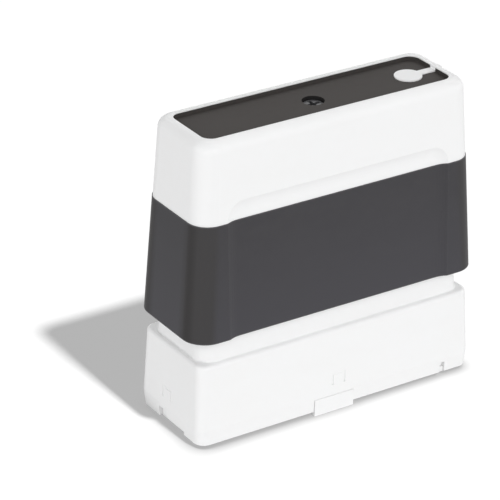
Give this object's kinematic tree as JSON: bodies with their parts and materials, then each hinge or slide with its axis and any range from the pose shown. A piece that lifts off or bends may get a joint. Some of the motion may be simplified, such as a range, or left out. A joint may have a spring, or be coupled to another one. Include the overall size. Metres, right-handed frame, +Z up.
{
  "type": "self inking stamp",
  "caption": "Upright pre-inked hand stamp with a two-tone sliding handle, a sprung white skirt round the print face and a pull-off cap.",
  "frame": {"origin": "on the ground, under the middle of the stamp as it stands on its cap", "axes": "+X along the print line and the stamp's long side, +Z up along the press direction"},
  "size_m": [0.074, 0.0252, 0.0707],
  "materials": {
    "white_skirt": "satin moulded ABS",
    "white_cap": "satin moulded ABS",
    "dark_core": "fine-textured moulded ABS, charcoal",
    "white_jacket": "satin moulded ABS",
    "screw_plastic": "moulded acetal",
    "spring_steel": "drawn wire and pressed strip",
    "steel_plate": "zinc plated",
    "cartridge_plastic": "moulded polypropylene",
    "gasket_rubber": "matt",
    "plug_rubber": "matt",
    "ink_felt": "felt soaked with black ink",
    "plate_plastic": "moulded",
    "ink_foam": "open-cell foam soaked with black ink",
    "print_film": "porous film",
    "frame_plastic": "moulded"
  },
  "bodies": {
    "skirt": {"skirt": "white_skirt", "return_spring_left": "spring_steel", "return_spring_right": "spring_steel"},
    "handle": {"handle_core": "dark_core", "handle_shell": "white_jacket", "keeper_plate": "steel_plate", "keeper_screws": "steel_plate", "cartridge_body": "cartridge_plastic", "cartridge_lid": "cartridge_plastic", "lid_gasket": "gasket_rubber", "fill_plugs": "plug_rubber", "ink_felt": "ink_felt", "pressure_plate": "plate_plastic", "ink_pad": "ink_foam", "print_film": "print_film", "face_frame": "frame_plastic"},
    "lock_screw": {"lock_screw": "screw_plastic", "screw_washer": "spring_steel", "screw_clip": "spring_steel"},
    "cap": {"cap_tray": "white_cap"}
  },
  "joints": [
    {"name": "handle_press", "type": "slide", "parent": "skirt", "child": "handle", "axis": [0, 0, -1], "range_m": [0, 0.0048], "stiffness_N_per_m": 1875, "springref_m": -0.0016, "deforming": ["return_spring_left", "return_spring_right"]},
    {"name": "cap_pull", "type": "slide", "parent": "skirt", "child": "cap", "axis": [0, 0, -1], "range_m": [0, 0.025]},
    {"name": "lock_turn", "type": "hinge", "parent": "handle", "child": "lock_screw", "pos_m": [0, 0, 0.066], "axis": [0, 0, 1], "range_deg": [0, 90]}
  ]
}
